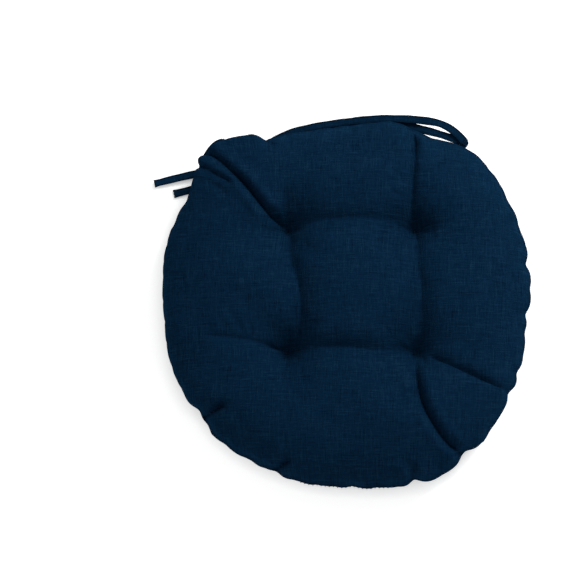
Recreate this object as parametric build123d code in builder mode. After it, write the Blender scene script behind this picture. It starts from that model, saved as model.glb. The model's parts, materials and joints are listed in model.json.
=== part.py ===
from build123d import *
from bisect import bisect_left
import math
import os

# Round tufted tie-on seat cushion, knife edge, filled with loose polyester fibre.
# The cushion lies flat, +Z up, and z = 0 is the plane it rests on. The origin is the centre
# of the flat part of its underside, +Y points to the chair's back (the tie side) and +X to
# the right hand side of the chair seen from the front. Lengths are in millimetres, angles
# in degrees from +X. A "share" is a fraction of the outline's distance from the centre.
# A "side" is +1 for the top of the cushion and -1 for its underside.

# ---- cover and filling ----
SEAM_Z = 42.0            # height of the knife-edge seam
CROWN_Z = 96.0
NOMINAL_R = 203.0        # nominal half width, turns an inset into a share
FABRIC = 1.0             # cloth thickness
FILL_GAP = 0.2           # clearance between cloth and filling
SEAM_GAP = 0.05          # half of the gap between the two seam allowances
ALLOWANCE = 0.94         # inner edge of the seam allowance, share
CLOTH_INNER_RIM = 0.9915  # rim of the cloth's inner surface, share
FILL_RIM = 0.989         # rim of the filling before it is cut back, share
FILL_CUT_FROM = ALLOWANCE - 0.004   # ring cut from the filling around the allowances, shares
FILL_CUT_TO = 1.05
CAVITY_OVERLAP = 1.0     # reach of a panel's cavity past the seam plane
CAVITY_JOIN = 0.001      # overlap that joins the cavity's two solids

# Distance from the centre to the seam every OUTLINE_STEP degrees. The two back corners,
# where the ties pull, bulge a little.
OUTLINE_STEP = 15
OUTLINE_R = [
    203.5, 207.5, 212.5, 219.0, 215.0, 210.5, 203.0, 205.0, 219.0, 227.0, 217.0, 208.5,
    203.5, 203.0, 204.0, 204.0, 203.0, 202.5, 203.5, 208.0, 213.5, 212.5, 207.0, 203.0,
]

# Outer sections of the cover from the seam inwards: (share, height)
TOP_PROFILE = [(1.000, SEAM_Z), (0.984, 51.0), (0.935, 64.0), (0.835, 78.0),
               (0.660, 90.0), (0.380, CROWN_Z)]
BOTTOM_PROFILE = [(1.000, SEAM_Z), (0.984, 30.0), (0.930, 18.0), (0.840, 8.0), (0.700, 0.0)]

# ---- tufts: four in a rectangle ----
TUFT_X, TUFT_Y = 70.5, 68.5     # half spacing across, and front to back
TUFT_DX, TUFT_DY = 6.0, 13.0    # the group sits slightly to the right and back
TUFT_TOP_Z = 45.0               # cloth surface at the bottom of a top pit
TUFT_BOTTOM_Z = 12.0            # cloth surface at the inner end of an underside pit
# Pit sections from the inner end outwards: (radius, height)
PIT_TOP = [(5.0, TUFT_TOP_Z), (7.5, 58.0), (13.0, 71.0), (25.0, 84.0), (44.0, 93.0), (62.0, 98.5)]
PIT_BOTTOM = [(5.0, TUFT_BOTTOM_Z), (7.5, 7.0), (13.0, 3.0), (24.0, -0.6)]
PIT_OVERRUN = 20.0       # how far a pit cutter runs past the crown or the resting plane
TWINE_R = 0.6
TWINE_SPREAD = 1.6       # half distance between the two legs of a twine loop
TWINE_GAP = 0.1          # clearance between twine and cloth
NEEDLE_R = 0.75          # needle hole in the cloth
NEEDLE_CUT = 8.0         # length of the needle hole cutter
CHANNEL_R = 2.8          # hole through the filling for the twine
CHANNEL_CUT = 200.0      # length of the channel cutter

# ---- seam thread ----
SEAM_LINE = 0.971            # line of the thread, share
THREAD_R = 0.35
GROOVE_HALF_SHARE = 0.0058   # half width of the thread's groove, share
GROOVE_HALF_HEIGHT = 0.6
CLOSING_FROM, CLOSING_TO = 256.0, 284.0   # hand-closed opening, at the front
SEAM_SPANS = 30              # spline spans along the machine seam
STITCHES = 12
STITCH_HALF_LENGTH = 2.8

# ---- ties: two strands of tape hang from one root at each back corner ----
TIE_W = 9.0
TIE_T = 1.0
TAB_T = 1.6
TAB_START = 0.957        # inner end of a tab, share
SLOT_START = 0.95        # inner end of a tape slot, share
SLOT_T = 2.2
SLOT_SIDE_GAPS = 1.6     # slot width beyond the tape's
SLOT_CENTRE_OUT = 4.0    # slot centre outside the rim
TIE_HOLE_R = 1.28
BARTACK_R = 1.20
BARTACK_LENGTH = 5.4
HEAD_R, HEAD_T = 3.0, 0.7
HEAD_OFFSET = 1.15       # from the middle of a strand to the middle of a bartack head
HEAD_FILLET = 0.25
UPPER_ROOT_Z = SEAM_Z + 1.5
LOWER_ROOT_Z = SEAM_Z - 1.5
ROOTS = {"left": (127.0, 230.0), "right": (54.0, 224.5)}   # angle, distance from the centre
ROOT_CLEAR_R = 6.6       # room cut above and below a strand's round root
ROOT_CLEAR_H = 6.0
ROOT_HOLE_CUT = 12.0     # length of the root hole cutter
BEND_AT = 0.5            # share of a strand's length where its tail starts
BEND_GAP = 0.35          # gap between the lead's end and the tail's round end
STRAND_SECTIONS = 18
STEPS_PER_SPAN = 24      # steps of a strand's path between two table points

# Middle line of each strand from its root: (x, y, z)
STRANDS = {
    "right_upper": [
        (131.96, 181.62, UPPER_ROOT_Z), (125.0, 190.5, 43.2), (112.5, 200.0, 42.0),
        (96.0, 206.5, 39.6), (60.6, 212.5, 33.6), (23.0, 212.5, 26.8), (-57.0, 204.7, 12.5),
        (-104.0, 180.0, 7.2), (-138.0, 165.0, 5.6), (-173.0, 156.0, 4.6), (-220.0, 145.0, 4.0)],
    "right_lower": [
        (131.96, 181.62, LOWER_ROOT_Z), (120.5, 186.6, 39.8), (106.0, 192.6, 37.8),
        (88.0, 198.6, 34.6), (66.0, 204.2, 30.0), (23.0, 208.0, 21.8), (-57.0, 198.0, 9.2),
        (-104.0, 171.0, 4.2), (-137.0, 152.5, 2.8), (-168.0, 141.5, 2.0), (-198.0, 134.0, 1.6)],
    "left_upper": [
        (-138.42, 183.69, UPPER_ROOT_Z), (-145.2, 181.4, 43.2), (-154.2, 174.2, 36.5),
        (-161.8, 159.6, 26.0), (-168.5, 133.0, 16.6), (-175.8, 101.5, 11.8), (-186.4, 50.0, 8.0),
        (-190.0, 0.0, 5.4), (-182.6, -49.0, 4.2), (-159.4, -99.6, 4.0), (-133.0, -131.0, 4.0)],
    "left_lower": [
        (-138.42, 183.69, LOWER_ROOT_Z), (-144.9, 181.1, 40.0), (-152.8, 172.9, 31.5),
        (-159.6, 156.6, 20.0), (-165.6, 127.0, 12.0), (-171.4, 95.0, 8.8), (-178.7, 47.9, 5.2),
        (-182.0, 0.0, 2.8), (-174.8, -46.8, 1.8), (-152.6, -95.4, 1.6), (-124.0, -128.5, 1.6)],
}

TUFTS = {
    f"{row}_{column}": (TUFT_DX + x_sign * TUFT_X, TUFT_DY + y_sign * TUFT_Y)
    for row, y_sign in (("front", -1), ("back", 1))
    for column, x_sign in (("left", -1), ("right", 1))
}


# ---- curves and sections, plain numbers only ----
def catmull_rom(before, start, end, after, t):
    """Value at t (0 to 1) between start and end on a cubic through four values."""
    return 0.5 * (2 * start + (end - before) * t
                  + (2 * before - 5 * start + 4 * end - after) * t * t
                  + (3 * start - before - 3 * end + after) * t ** 3)


def polar(radius, angle):
    return radius * math.cos(math.radians(angle)), radius * math.sin(math.radians(angle))


def outline_r(angle):
    """Distance from the centre to the seam at an angle."""
    position = (angle % 360.0) / OUTLINE_STEP
    i = int(math.floor(position))
    around = [OUTLINE_R[(i + k) % len(OUTLINE_R)] for k in (-1, 0, 1, 2)]
    return catmull_rom(*around, position - i)


def outline_points(share):
    return [polar(share * outline_r(angle), angle) for angle in range(0, 360, OUTLINE_STEP)]


def inset_profile(profile, depth):
    """The profile moved inwards along its normals, without its seam point."""
    inset = []
    last = len(profile) - 1
    for i in range(1, last + 1):
        share_0, z_0 = profile[i - 1]
        share_1, z_1 = profile[min(i + 1, last)]
        dr, dz = (share_1 - share_0) * NOMINAL_R, z_1 - z_0
        if i == last:
            # the end cap is flat, so the depth there is taken along z
            normal_r, normal_z = 0.25, math.copysign(1.0, dz)
        else:
            length = math.hypot(dr, dz)
            normal_r, normal_z = abs(dz) / length, math.copysign(dr, dz) / length
        share, z = profile[i]
        inset.append((share - normal_r * depth / NOMINAL_R, z - normal_z * depth))
    return inset


def grow_pit(points, depth, side):
    """A pit's section grown into the cushion by a depth."""
    grown = []
    for i, (radius, z) in enumerate(points):
        radius_0, z_0 = points[max(i - 1, 0)]
        radius_1, z_1 = points[min(i + 1, len(points) - 1)]
        dr, dz = radius_1 - radius_0, z_1 - z_0
        length = math.hypot(dr, dz)
        normal_r, normal_z = abs(dz) / length, abs(dr) / length
        if i == 0:
            # the corner at the pit's inner end moves both ways
            normal_r, normal_z = 1.0, 1.0
        grown.append((radius + normal_r * depth, z - side * normal_z * depth))
    return grown


# ---- shared solids ----
def lens(profile):
    """A solid lofted through scaled copies of the outline."""
    with BuildPart() as solid:
        for share, z in sorted(profile, key=lambda point: point[1]):
            with BuildSketch(Plane.XY.offset(z)):
                with BuildLine():
                    Spline(*outline_points(share), periodic=True)
                make_face()
        loft()
    return solid.part


def pits(points, side):
    """Four funnel-shaped cutters, one per tuft."""
    end_z = CROWN_Z + PIT_OVERRUN if side > 0 else -PIT_OVERRUN
    inner, outer = points[0], points[-1]
    with BuildPart() as solid:
        for x, y in TUFTS.values():
            with BuildSketch(Plane(origin=(x, y, 0), x_dir=(1, 0, 0), z_dir=(0, -1, 0))):
                with BuildLine():
                    Spline(*points)
                    Polyline(outer, (outer[0], end_z), (0, end_z), (0, inner[1]), inner)
                make_face()
            revolve(axis=Axis((x, y, 0), (0, 0, 1)))
    return solid.part


def band(share_in, share_out, z_low, z_high):
    """A flat ring between two scaled copies of the outline, or a disc if share_in is 0."""
    with BuildPart() as ring:
        with BuildSketch(Plane.XY.offset(z_low)):
            with BuildLine():
                Spline(*outline_points(share_out), periodic=True)
            make_face()
            if share_in:
                with BuildLine():
                    Spline(*outline_points(share_in), periodic=True)
                make_face(mode=Mode.SUBTRACT)
        extrude(amount=z_high - z_low)
    return ring.part


def radial_plane(angle, z):
    """A level plane whose own x axis points outwards at an angle."""
    return Plane(origin=(0, 0, z), x_dir=(*polar(1, angle), 0), z_dir=(0, 0, 1))


def tape_slots():
    """The two gaps in the seam that the tie tapes pass through."""
    with BuildPart() as slots:
        for angle, _ in ROOTS.values():
            rim = outline_r(angle)
            centre = rim + SLOT_CENTRE_OUT
            with BuildSketch(radial_plane(angle, SEAM_Z - SLOT_T / 2)):
                with Locations((centre, 0)):
                    Rectangle(2 * (centre - rim * SLOT_START), TIE_W + SLOT_SIDE_GAPS)
            extrude(amount=SLOT_T)
    return slots.part


TAPE_SLOTS = tape_slots()
SEAM_GROOVE = band(SEAM_LINE - GROOVE_HALF_SHARE, SEAM_LINE + GROOVE_HALF_SHARE,
                   SEAM_Z - GROOVE_HALF_HEIGHT, SEAM_Z + GROOVE_HALF_HEIGHT)


# ---- cover and filling ----
def panel(profile, pit, side):
    """A cloth panel with its turned-in seam allowance, four pits and needle holes."""
    edge = SEAM_GAP + FABRIC
    inner = [(CLOTH_INNER_RIM, SEAM_Z + side * edge)] + inset_profile(profile, FABRIC)
    outer = [(profile[0][0], SEAM_Z + side * SEAM_GAP)] + profile[1:]
    opening = sorted((SEAM_Z - side * CAVITY_OVERLAP, SEAM_Z + side * (edge + CAVITY_JOIN)))
    pit_z = pit[0][1]
    with BuildPart() as cavity:
        add(lens(inner))
        add(pits(grow_pit(pit, FABRIC, side), side), mode=Mode.SUBTRACT)
        add(band(0, ALLOWANCE, *opening))

    with BuildPart() as cloth:
        add(lens(outer))
        add(pits(pit, side), mode=Mode.SUBTRACT)
        add(cavity.part, mode=Mode.SUBTRACT)
        add(SEAM_GROOVE, mode=Mode.SUBTRACT)
        add(TAPE_SLOTS, mode=Mode.SUBTRACT)
        for x, y in TUFTS.values():
            with Locations((x - TWINE_SPREAD, y, pit_z), (x + TWINE_SPREAD, y, pit_z)):
                Cylinder(NEEDLE_R, NEEDLE_CUT, mode=Mode.SUBTRACT)
    return cloth.part


def fibre_fill():
    """One block of loose fibre that stops short of the seam allowances."""
    depth = FABRIC + FILL_GAP
    clear = SEAM_GAP + depth
    with BuildPart() as fill:
        for profile in (TOP_PROFILE, BOTTOM_PROFILE):
            add(lens([(FILL_RIM, SEAM_Z)] + inset_profile(profile, depth)))
        for pit, side in ((PIT_TOP, 1), (PIT_BOTTOM, -1)):
            add(pits(grow_pit(pit, depth, side), side), mode=Mode.SUBTRACT)
        add(band(FILL_CUT_FROM, FILL_CUT_TO, SEAM_Z - clear, SEAM_Z + clear), mode=Mode.SUBTRACT)
        with Locations(*[(x, y, SEAM_Z) for x, y in TUFTS.values()]):
            Cylinder(CHANNEL_R, CHANNEL_CUT, mode=Mode.SUBTRACT)
    return fill.part


# ---- threads ----
def twine_loop(x, y):
    """A closed loop of twine through both panels and the filling."""
    top = TUFT_TOP_Z + TWINE_R + TWINE_GAP
    low = TUFT_BOTTOM_Z - TWINE_R - TWINE_GAP
    with BuildPart() as loop:
        with BuildLine(Plane(origin=(x, y, 0), x_dir=(1, 0, 0), z_dir=(0, -1, 0))):
            path = Polyline((0, top), (TWINE_SPREAD, top), (TWINE_SPREAD, low),
                            (-TWINE_SPREAD, low), (-TWINE_SPREAD, top), close=True)
        with BuildSketch(Plane(origin=(x, y, top), x_dir=(0, 1, 0), z_dir=(1, 0, 0))):
            Circle(TWINE_R)
        sweep(path=path, transition=Transition.RIGHT)
    return loop.part


def seam_point(angle):
    return (*polar(SEAM_LINE * outline_r(angle), angle), SEAM_Z)


def perimeter_seam_thread():
    """Thread between the allowances, all round except for the opening at the front."""
    start = CLOSING_TO - 360.0
    sweep_angle = CLOSING_FROM - start
    points = [seam_point(start + k * sweep_angle / SEAM_SPANS) for k in range(SEAM_SPANS + 1)]
    with BuildPart() as thread:
        with BuildLine() as seam:
            Spline(*points)
        with BuildSketch(Plane(origin=seam.line @ 0, z_dir=seam.line % 0)):
            Circle(THREAD_R)
        sweep(path=seam.line)
    return thread.part


def closing_stitch():
    """Separate straight stitches that close the opening."""
    pitch = (CLOSING_TO - CLOSING_FROM) / STITCHES
    with BuildPart() as stitches:
        for k in range(STITCHES):
            angle = CLOSING_FROM + (k + 0.5) * pitch
            along = (*polar(1, angle + 90), 0)
            with BuildSketch(Plane(origin=seam_point(angle), z_dir=along)):
                Circle(THREAD_R)
            extrude(amount=STITCH_HALF_LENGTH, both=True)
    return stitches.part


# ---- ties ----
def tie_tab(angle, root):
    """The sewn-in tab, with a round outer end and a hole for the bartack."""
    start = outline_r(angle) * TAB_START
    with BuildPart() as tab:
        with BuildSketch(radial_plane(angle, SEAM_Z - TAB_T / 2)):
            with Locations(((start + root) / 2, 0)):
                Rectangle(root - start, TIE_W)
            with Locations((root, 0)):
                Circle(TIE_W / 2)
                Circle(TIE_HOLE_R, mode=Mode.SUBTRACT)
        extrude(amount=TAB_T)
        add(SEAM_GROOVE, mode=Mode.SUBTRACT)
    return tab.part


def bartack(angle, root):
    """A post with a round head at each end; only the upper head's top edge is rounded."""
    x, y = polar(root, angle)
    with BuildPart() as post:
        with Locations((x, y, SEAM_Z)):
            Cylinder(BARTACK_R, BARTACK_LENGTH)
        with Locations((x, y, UPPER_ROOT_Z + HEAD_OFFSET), (x, y, LOWER_ROOT_Z - HEAD_OFFSET)):
            Cylinder(HEAD_R, HEAD_T)
        top_edge = post.edges().filter_by(GeomType.CIRCLE).group_by(Axis.Z)[-1]
        fillet(top_edge, HEAD_FILLET)
    return post.part


def smooth_path(points):
    """Short steps on a curve through the points, each height kept within its span's ends."""
    padded = [points[0]] + points + [points[-1]]
    path = []
    for i in range(1, len(padded) - 2):
        low, high = sorted((padded[i][2], padded[i + 1][2]))
        for k in range(STEPS_PER_SPAN):
            t = k / STEPS_PER_SPAN
            x, y, z = (catmull_rom(*values, t) for values in zip(*padded[i - 1:i + 3]))
            path.append((x, y, min(high, max(low, z))))
    path.append(points[-1])
    return path


def stations(path, run, start, stop):
    """(position, plan direction, slope) at even steps between two shares of the length."""
    found = []
    for k in range(STRAND_SECTIONS):
        target = run[-1] * (start + (stop - start) * k / (STRAND_SECTIONS - 1))
        i = max(1, bisect_left(run, target - 1e-9))
        t = (target - run[i - 1]) / (run[i] - run[i - 1])
        position = tuple(a + t * (b - a) for a, b in zip(path[i - 1], path[i]))
        # the direction is averaged over a few steps either way
        behind, ahead = path[max(0, i - 4)], path[min(len(path) - 1, i + 3)]
        dx, dy, dz = (b - a for a, b in zip(behind, ahead))
        flat = math.hypot(dx, dy)
        found.append((position, (dx / flat, dy / flat), dz / flat))
    return found


def strand(points, is_lead):
    """Half a strand of flat tape: the lead from the root, or the tail beyond the bend."""
    path = smooth_path(points)
    run = [0.0]
    for a, b in zip(path, path[1:]):
        run.append(run[-1] + math.dist(a, b))
    if is_lead:
        # stops short so that the tail's round end is clear of it
        start, stop = 0.0, BEND_AT - (TIE_W / 2 + BEND_GAP) / run[-1]
    else:
        start, stop = BEND_AT, 1.0
    sections = stations(path, run, start, stop)
    with BuildPart() as tape:
        # upright sections, made taller where the tape slopes so that it stays TIE_T thick
        for position, (dx, dy), slope in sections:
            with BuildSketch(Plane(origin=position, x_dir=(-dy, dx, 0), z_dir=(dx, dy, 0))):
                Rectangle(TIE_W, TIE_T * math.sqrt(1 + slope * slope))
        loft()
        if is_lead:
            x, y, z = points[0]
            clear = TIE_T / 2 + ROOT_CLEAR_H / 2
            with Locations((x, y, z)):
                Cylinder(TIE_W / 2, TIE_T)
            with Locations((x, y, z + clear), (x, y, z - clear)):
                Cylinder(ROOT_CLEAR_R, ROOT_CLEAR_H, mode=Mode.SUBTRACT)
            with Locations((x, y, SEAM_Z)):
                Cylinder(TIE_HOLE_R, ROOT_HOLE_CUT, mode=Mode.SUBTRACT)
        else:
            with Locations(sections[0][0]):
                Cylinder(TIE_W / 2, TIE_T)
    return tape.part


# ---- build and write one STEP per piece ----
pieces = {
    "top_panel": panel(TOP_PROFILE, PIT_TOP, 1),
    "bottom_panel": panel(BOTTOM_PROFILE, PIT_BOTTOM, -1),
    "fibre_fill": fibre_fill(),
    "perimeter_seam_thread": perimeter_seam_thread(),
    "closing_stitch": closing_stitch(),
}
for place, (x, y) in TUFTS.items():
    pieces[f"tuft_thread_{place}"] = twine_loop(x, y)
for corner, (angle, root) in ROOTS.items():
    pieces[f"{corner}_tie_tab"] = tie_tab(angle, root)
    pieces[f"{corner}_tie_bartack"] = bartack(angle, root)
for name, points in STRANDS.items():
    pieces[f"{name}_lead"] = strand(points, is_lead=True)
    pieces[f"{name}_tail"] = strand(points, is_lead=False)

os.makedirs("parts", exist_ok=True)
for name, piece in pieces.items():
    piece.label = name
    export_step(piece, f"parts/{name}.step")
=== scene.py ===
"""Round tufted tie-on seat cushion: cloth-simulated cover, stitched seam, folded ties, studio stage."""
import bpy, bmesh, math, json, time
import numpy as np
from mathutils import Matrix, Vector, noise


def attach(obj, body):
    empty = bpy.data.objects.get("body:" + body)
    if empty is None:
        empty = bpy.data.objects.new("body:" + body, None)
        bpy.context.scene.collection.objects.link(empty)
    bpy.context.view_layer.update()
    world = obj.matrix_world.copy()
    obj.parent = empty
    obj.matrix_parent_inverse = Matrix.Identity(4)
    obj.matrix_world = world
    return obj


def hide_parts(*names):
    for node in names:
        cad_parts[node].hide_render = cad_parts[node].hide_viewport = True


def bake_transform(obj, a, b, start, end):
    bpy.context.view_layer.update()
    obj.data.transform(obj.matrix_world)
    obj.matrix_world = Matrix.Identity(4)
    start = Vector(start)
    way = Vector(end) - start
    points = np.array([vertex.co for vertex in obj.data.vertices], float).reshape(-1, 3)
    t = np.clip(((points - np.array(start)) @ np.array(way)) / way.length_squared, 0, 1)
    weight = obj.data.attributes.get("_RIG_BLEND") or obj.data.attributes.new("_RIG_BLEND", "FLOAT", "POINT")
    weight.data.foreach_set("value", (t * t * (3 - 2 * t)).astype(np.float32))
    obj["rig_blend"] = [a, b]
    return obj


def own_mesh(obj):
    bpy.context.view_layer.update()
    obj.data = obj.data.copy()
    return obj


T0 = time.time()
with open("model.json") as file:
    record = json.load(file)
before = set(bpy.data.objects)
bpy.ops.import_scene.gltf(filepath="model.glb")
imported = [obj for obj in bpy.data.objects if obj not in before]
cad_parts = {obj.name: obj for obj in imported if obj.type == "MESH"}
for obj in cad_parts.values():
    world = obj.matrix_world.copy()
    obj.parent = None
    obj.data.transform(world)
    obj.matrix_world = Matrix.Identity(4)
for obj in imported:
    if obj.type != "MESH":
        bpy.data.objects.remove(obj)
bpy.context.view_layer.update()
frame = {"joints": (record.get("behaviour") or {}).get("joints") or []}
RNG = np.random.RandomState(7)
scene = bpy.context.scene
MM = 0.001
SEAM_Z = 42.0

# ---------------------------------------------------------------- outline and features, in mm
OUT_R = [206.3, 208.5, 211.4, 213.9, 216.1, 219.6, 223.5, 222.5, 216.5, 213.6, 216.4, 210.3,
         205.1, 203.9, 205.8, 209.5, 219.0, 227.5, 228.5, 219.0, 218.0, 218.9, 216.3, 212.1,
         210.3, 209.4, 210.8, 210.8, 209.9, 207.0, 207.2, 206.3, 205.3, 205.6, 205.8, 205.8,
         205.9, 208.6, 213.4, 218.4, 219.4, 218.2, 217.5, 212.5, 211.1, 209.7, 205.7, 204.6]


def out_r(deg):
    """Periodic cubic through the outline table; works on arrays of degrees."""
    tab = np.array(OUT_R)
    n = len(tab)
    u = (np.asarray(deg, float) % 360.0) * n / 360.0
    i = np.floor(u).astype(int)
    t = u - i
    p0, p1, p2, p3 = tab[(i - 1) % n], tab[i % n], tab[(i + 1) % n], tab[(i + 2) % n]
    return 0.5 * (2 * p1 + (p2 - p0) * t + (2 * p0 - 5 * p1 + 4 * p2 - p3) * t ** 2 + (3 * p1 - p0 - 3 * p2 + p3) * t ** 3)


TUFT = {"tl": (-64.5, 81.5), "tr": (76.5, 81.5), "bl": (-64.5, -55.5), "br": (76.5, -55.5)}
TUFT_TOP, TUFT_LOW = 52.7, 11.4

# valleys and folds on the top: points, depth along the line, half width
VALLEYS = [
    ([(-64.5, 81.5), (-31.5, 85.5), (8.7, 89.5), (42.8, 87.0), (76.5, 81.5)], 22.3, 12.2),
    ([(-64.5, 81.5), (-60.5, 47.0), (-49.5, 16.0), (-46.0, -9.0), (-49.5, -31.0), (-64.5, -55.5)], 23.4, 11.4),
    ([(76.5, 81.5), (77.5, 47.0), (83.0, 16.0), (82.3, -15.0), (79.8, -38.0), (76.5, -55.5)], 24.6, 11.8),
    ([(-64.5, -55.5), (-31.5, -53.5), (5.6, -53.5), (42.8, -57.0), (76.5, -55.5)], 21.6, 9.8),
    ([(-64.5, -55.5), (-88.0, -50.0), (-112.0, -46.0), (-146.0, -43.0)], 10.0 - 2.1, 11.0),
    ([(-64.5, -55.5), (-63.5, -80.0), (-63.0, -112.0), (-64.0, -150.0)], 7.0, 13.0),
    ([(-64.5, 81.5), (-66.0, 104.0), (-67.0, 140.0)], 6.5, 13.0),
    ([(76.5, 81.5), (100.0, 80.0), (128.0, 82.0)], 6.5, 15.0),
]
# sharp folds: points, depth, width of the dark line, how much cloth stands up beside it
FOLDS = [
    ([(-160.0, 164.0), (-140.0, 155.6), (-124.5, 143.6), (-108.8, 127.9), (-93.3, 108.0), (-81.0, 94.0), (-66.0, 83.0)], 8.5, 4.0, 6.0),
    ([(-167.0, 148.0), (-149.0, 143.0), (-133.6, 135.6), (-122.0, 128.0)], 6.0, 3.6, 3.0),
    ([(-152.0, 132.0), (-140.0, 126.0), (-128.0, 115.0)], 2.5, 5.0, 1.5),
    ([(76.0, 83.0), (73.8, 113.0), (75.2, 145.0), (76.7, 172.0), (74.0, 198.0)], 6.0, 7.0, 1.8),
    ([(68.0, 203.0), (70.5, 186.0), (74.5, 164.0)], 4.0, 5.5, 2.5),
    ([(77.0, -66.0), (78.6, -84.0), (84.5, -110.0), (95.3, -132.0), (112.5, -154.5), (131.5, -167.5)], 7.8, 4.3, 4.6),
    ([(88.0, -60.5), (110.0, -69.5), (132.5, -80.0), (156.0, -90.0), (179.0, -98.0)], 4.3, 4.4, 2.2),
    ([(-173.0, -136.5), (-163.0, -131.0), (-148.0, -123.0), (-125.0, -112.0)], 9.0, 6.6, 3.4),
    ([(-98.0, -200.0), (-86.0, -191.0), (-76.0, -184.0), (-54.0, -172.0)], 8.4, 6.4, 3.0),
    ([(-154.0, -40.0), (-112.0, -44.5), (-88.0, -49.0), (-68.0, -54.5)], 2.3, 5.5, 1.2),
    ([(79.0, -203.0), (78.0, -192.0), (75.0, -178.0)], 4.0, 4.5, 2.0),
    ([(-92.0, 193.0), (-88.0, 181.0), (-82.0, 168.0)], 3.5, 5.0, 1.5),
]


def spline(points, per=24):
    p = np.array([points[0]] + list(points) + [points[-1]], float)
    out = []
    for i in range(1, len(p) - 2):
        t = np.linspace(0, 1, per, endpoint=False)[:, None]
        out.append(0.5 * (2 * p[i] + (p[i + 1] - p[i - 1]) * t + (2 * p[i - 1] - 5 * p[i] + 4 * p[i + 1] - p[i + 2]) * t ** 2
                          + (3 * p[i] - p[i - 1] - 3 * p[i + 1] + p[i + 2]) * t ** 3))
    out.append(p[-1:])
    return np.vstack(out)


def near_line(xy, points):
    """Distance to a smooth line, share along it and side (+1 left, -1 right), per point."""
    line = spline(points)
    best = np.full(len(xy), 1e9); along = np.zeros(len(xy)); side = np.ones(len(xy))
    seg = np.diff(line, axis=0)
    run = np.concatenate([[0], np.cumsum(np.hypot(seg[:, 0], seg[:, 1]))])
    for k in range(len(seg)):
        a, d = line[k], seg[k]
        L2 = (d ** 2).sum() + 1e-12
        t = np.clip(((xy - a) @ d) / L2, 0, 1)
        q = a + t[:, None] * d
        dist = np.hypot(*(xy - q).T)
        m = dist < best
        best[m] = dist[m]
        along[m] = (run[k] + t[m] * math.sqrt(L2)) / run[-1]
        cr = d[0] * (xy[:, 1] - a[1]) - d[1] * (xy[:, 0] - a[0])
        side[m] = np.where(cr[m] >= 0, 1.0, -1.0)
    return best, along, side, run[-1]


# ---------------------------------------------------------------- mesh of two discs sharing a rim
def disc_grid(n):
    """(n+1)^2 points of a square grid mapped onto the unit disc, quads, and the rim loop in order."""
    g = np.linspace(-1, 1, n + 1)
    u, v = np.meshgrid(g, g, indexing="ij")
    u, v = u.ravel(), v.ravel()
    a = np.abs(u) >= np.abs(v)
    r = np.where(a, u, v)
    with np.errstate(divide="ignore", invalid="ignore"):
        phi = np.where(a, (math.pi / 4) * (v / np.where(u == 0, 1, u)), (math.pi / 2) - (math.pi / 4) * (u / np.where(v == 0, 1, v)))
    x1, y1 = r * np.cos(phi), r * np.sin(phi)
    # blend with the elliptical mapping, which has softer diagonals
    x2, y2 = u * np.sqrt(1 - v * v / 2), v * np.sqrt(1 - u * u / 2)
    w = 0.55
    x, y = x1 * (1 - w) + x2 * w, y1 * (1 - w) + y2 * w
    rr = np.hypot(x, y)
    edge = (np.abs(u) > 0.9999) | (np.abs(v) > 0.9999)
    x[edge] /= rr[edge]; y[edge] /= rr[edge]
    idx = lambda i, j: i * (n + 1) + j
    quads = [(idx(i, j), idx(i + 1, j), idx(i + 1, j + 1), idx(i, j + 1)) for i in range(n) for j in range(n)]
    rim = [idx(i, 0) for i in range(n)] + [idx(n, j) for j in range(n)] + [idx(i, n) for i in range(n, 0, -1)] + [idx(0, j) for j in range(n, 0, -1)]
    return x, y, quads, rim


def smooth_noise(xy, scale, seed, octaves=3):
    out = np.empty(len(xy))
    for k, (x, y) in enumerate(xy):
        out[k] = noise.fractal(Vector((x / scale + seed * 17.3, y / scale - seed * 9.1, seed * 3.7)), 1.0, 2.0, octaves)
    return out


def tuft_pull(xy, reach):
    """0..1, how strongly the nearest tuft pulls."""
    d = np.min([np.hypot(xy[:, 0] - x, xy[:, 1] - y) for x, y in TUFT.values()], axis=0)
    return np.exp(-(d / reach) ** 1.15), d


# rim puckers: irregular bites along the seam (degrees, depth mm, half width deg)
def rim_bites():
    bites, a = [], 0.0
    while a < 358.0:
        step = RNG.uniform(4.6, 8.2)
        a += step
        smooth = 150.0 < a < 222.0      # the left side of the rim is nearly smooth
        bites.append((a, RNG.uniform(0.2, 1.5) * (0.35 if smooth else 1.0), RNG.uniform(0.8, 1.7)))
    for a, d, w in ((138.0, 3.5, 2.6), (115.5, 6.0, 2.6), (103.5, 1.8, 2.3), (216.5, 5.0, 2.6), (221.5, 3.0, 2.2), (230.0, 1.4, 2.2),
                    (239.5, 2.0, 2.4), (248.0, 3.6, 2.1), (256.0, 1.2, 2.0), (264.0, 1.2, 2.0), (273.0, 2.0, 2.6), (282.5, 2.0, 2.8),
                    (291.5, 7.5, 2.2), (309.0, 7.0, 2.6), (318.0, 2.0, 2.6), (331.0, 4.8, 2.0), (338.0, 4.2, 2.3), (351.5, 1.6, 2.4),
                    (356.5, 4.6, 2.1), (12.5, 3.6, 2.3), (22.5, 1.8, 2.6), (33.5, 1.8, 2.6), (43.5, 2.2, 2.4), (63.0, 2.6, 2.8)):
        bites.append((a, d, w))
    return bites


BITES = rim_bites()


def rim_shape(deg):
    """Depth of the rim's scallops at an angle, in mm."""
    cut = np.zeros_like(deg)
    for a, d, w in BITES:
        diff = (deg - a + 180.0) % 360.0 - 180.0
        cut += d * np.exp(-np.abs(diff / w) ** 1.5)
    return cut


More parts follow.
